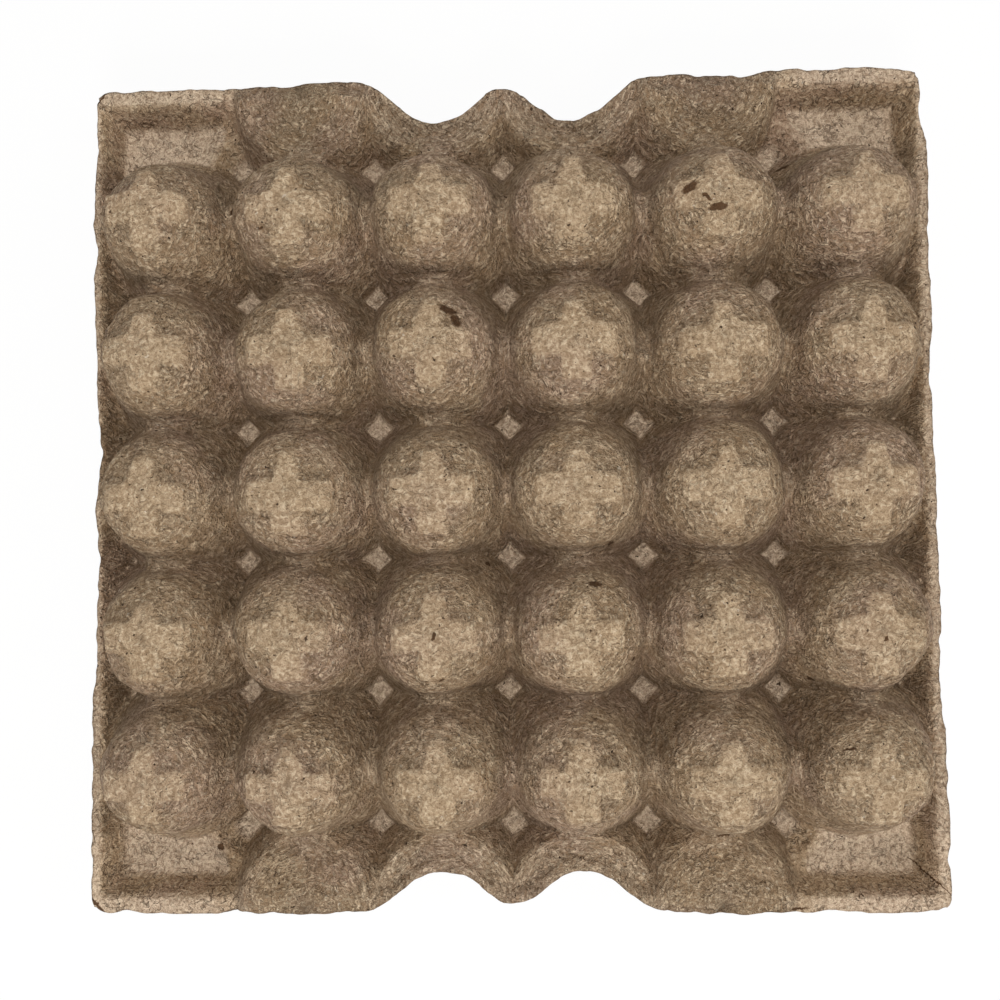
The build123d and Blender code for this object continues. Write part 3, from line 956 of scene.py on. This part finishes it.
notched_rim = notched_rim * ramp(np.abs(up_y), CORNER_POST_Y + 3, CORNER_POST_Y + 6)
print("share of floor and of ledge", round(float(low_floor.mean()), 3), round(float(ledge_flat.mean()), 3))

# %% [markdown]
# A saddle's middle lies on a line between columns and on a row, or the other way round. It gets
# a little painted light, and so does the rim along the notches.

# %% Values for the finish
off_line_x = off_whole_pitch(up_x)
off_line_y = PITCH / 2 - off_whole_pitch(up_y)
off_saddle_across = np.hypot(off_line_x, PITCH / 2 - off_line_y)
off_saddle_along = np.hypot(PITCH / 2 - off_line_x, off_line_y)
on_saddle = 1 - ramp(np.minimum(off_saddle_across, off_saddle_along), 3, 6)

calm = np.maximum(crown_share(up_x, up_y), 0.6 * low_floor)
calm = np.maximum(calm, 0.6 * ledge_flat) * (1 - bowl)
calm = np.maximum(calm, 0.5 * plain_rim)
# Painted shade: points that lie deeper than their surroundings are darkened, and the bowls and the outermost
# lines of the skin in full.
recess = np.clip((below - RECESS_START) / RECESS_RANGE, 0, 1) * (1 - low_floor) * (1 - ledge_flat)
recess = np.maximum(recess, bowl)
recess[[0, -1], :] = 1.0
recess[:, [0, -1]] = 1.0
ringed = 1 - ramp(np.minimum(np.abs(up_x) - CORNER_POST_X, np.abs(up_y) - CORNER_POST_Y), -1.0, 2.0)
# Painted light: the floors, the ledges round the bowls and the rim are made paler, the saddle middles and the
# notched rim a little.
pale = np.maximum(np.maximum(low_floor, ledge_flat * (1 - bowl)), 0.8 * plain_rim)
pale = np.maximum(pale, np.maximum(0.4 * on_saddle, 0.45 * notched_rim))

loose = np.concatenate([np.ones(up_x.size), np.where(low_z.ravel() > 0.4, 1.0, 0.0)])
mesh.attributes.new("loose", "FLOAT", "POINT").data.foreach_set("value", loose)
for name, values in (("calm", calm), ("recess", recess), ("ringed", ringed), ("pale", pale)):
    both = np.concatenate([values.ravel(), np.zeros(low_x.size)])
    mesh.attributes.new(name, "FLOAT", "POINT").data.foreach_set("value", both)
print("share of smooth pulp", round(float(calm.mean()), 2), "of deep pulp", round(float(recess.mean()), 2))

# %% [markdown]
# The wrinkle group runs as a modifier, and its result becomes a plain mesh. A last step keeps
# every point in the box of the CAD tray, so no wrinkle makes the tray larger than it is.

# %% Wrinkle the skin
modifier = tray.modifiers.new("wrinkles", "NODES")
modifier.node_group = wrinkling
settings = {
    "Wrinkle Height": 0.0024,
    "Wrinkle Size": 0.006,
    "Height Squeeze": 1.6,
    "Lump Height": 0.0026,
    "Lump Size": 0.022,
    "Seed": 4.0,
    "Material": paint,
}
for name, value in settings.items():
    modifier[socket_id(wrinkling, name)] = value
finished = bpy.data.meshes.new_from_object(tray.evaluated_get(bpy.context.evaluated_depsgraph_get()))
tray.modifiers.clear()
tray.data = finished
places = np.empty(len(finished.vertices) * 3)
finished.vertices.foreach_get("co", places)
places = np.clip(places.reshape(-1, 3), np.array(cad_low), np.array(cad_high))
finished.vertices.foreach_set("co", places.ravel())
finished.update()
print("skin box", places.min(axis=0), places.max(axis=0))

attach(tray, "root")
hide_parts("tray")

# %% [markdown]
# The floor is pale and plain. It lies a hair below the tray, so the two never share a plane.
# The camera sees most of it as plain white light, and a share of it as it is lit, so it keeps a
# faint shadow under the tray. Reflections and anything seen through glass would show it so too.

# %% The floor
FLOOR_REACH, FLOOR_GAP, FLOOR_GLOW = 3.0, 0.0002, 0.9
corner_signs = ((-1, -1), (1, -1), (1, 1), (-1, 1))
corners = [(x * FLOOR_REACH, y * FLOOR_REACH, -FLOOR_GAP) for x, y in corner_signs]
floor_mesh = bpy.data.meshes.new("floor")
floor_mesh.from_pydata(corners, [], [(0, 1, 2, 3)])
floor = bpy.data.objects.new("floor", floor_mesh)
bpy.context.collection.objects.link(floor)

floor_paint = bpy.data.materials.new("pale_floor")
floor_paint.use_nodes = True
white = Wiring(floor_paint.node_tree)
white.tree.nodes.clear()
dull = white.fill(white.add("ShaderNodeBsdfDiffuse"), {"Color": (0.8, 0.8, 0.8, 1)})
glow = white.fill(white.add("ShaderNodeEmission"), {"Color": (1, 1, 1, 1), "Strength": 1.0})
path = white.add("ShaderNodeLightPath").outputs
seen = white.maths("MAXIMUM", path["Is Glossy Ray"], path["Is Transmission Ray"])
seen = white.maths("MAXIMUM", path["Is Camera Ray"], seen)
blend = white.add("ShaderNodeMixShader")
white.fill(blend, {0: white.maths("MULTIPLY", seen, FLOOR_GLOW), 1: dull.outputs[0], 2: glow.outputs[0]})
white.put(blend.outputs[0], white.add("ShaderNodeOutputMaterial").inputs[0])
floor_mesh.materials.append(floor_paint)
print("floor", FLOOR_REACH * 2, "m across")

# %% [markdown]
# Three soft square lamps and an even white world light the tray. Their powers were set so that
# flats, flanks and hollows have about the tones that they have in the picture.

# %% Lights
LAMP_SIZE, LAMP_COLOUR, WORLD_STRENGTH = 0.5, (1.0, 0.98, 0.95), 0.34
LAMPS = {
    "overhead": ((0.04, 0.0, 1.25), 11.0),
    "front": ((0.05, -1.1, 0.8), 8.5),
    "side": ((1.1, 0.1, 0.75), 2.5),
}
for name, (place, power) in LAMPS.items():
    light = bpy.data.lights.new(name, "AREA")
    light.size, light.energy, light.color = LAMP_SIZE, power, LAMP_COLOUR
    lamp = bpy.data.objects.new(name, light)
    bpy.context.collection.objects.link(lamp)
    lamp.location = place
    lamp.rotation_euler = Vector(place).to_track_quat("Z", "Y").to_euler()

world = bpy.data.worlds.new("studio")
bpy.context.scene.world = world
world.use_nodes = True
background = world.node_tree.nodes["Background"]
background.inputs["Color"].default_value = (1, 1, 1, 1)
background.inputs["Strength"].default_value = WORLD_STRENGTH
print("lamps", list(LAMPS))

# %% [markdown]
# Last come the camera that was used to read the picture, and the plain view transform.

# %% Camera
camera = bpy.data.objects.new("camera", bpy.data.cameras.new("camera"))
bpy.context.collection.objects.link(camera)
camera.location = CAMERA_PLACE
camera.rotation_euler = CAMERA_TURN
camera.data.lens = CAMERA_LENS
camera.data.sensor_width = CAMERA_SENSOR
camera.data.clip_start = 0.01
bpy.context.scene.camera = camera
bpy.context.scene.view_settings.view_transform = "Standard"
print("camera", round(camera.location.z, 3), "m up")

# %% [markdown]
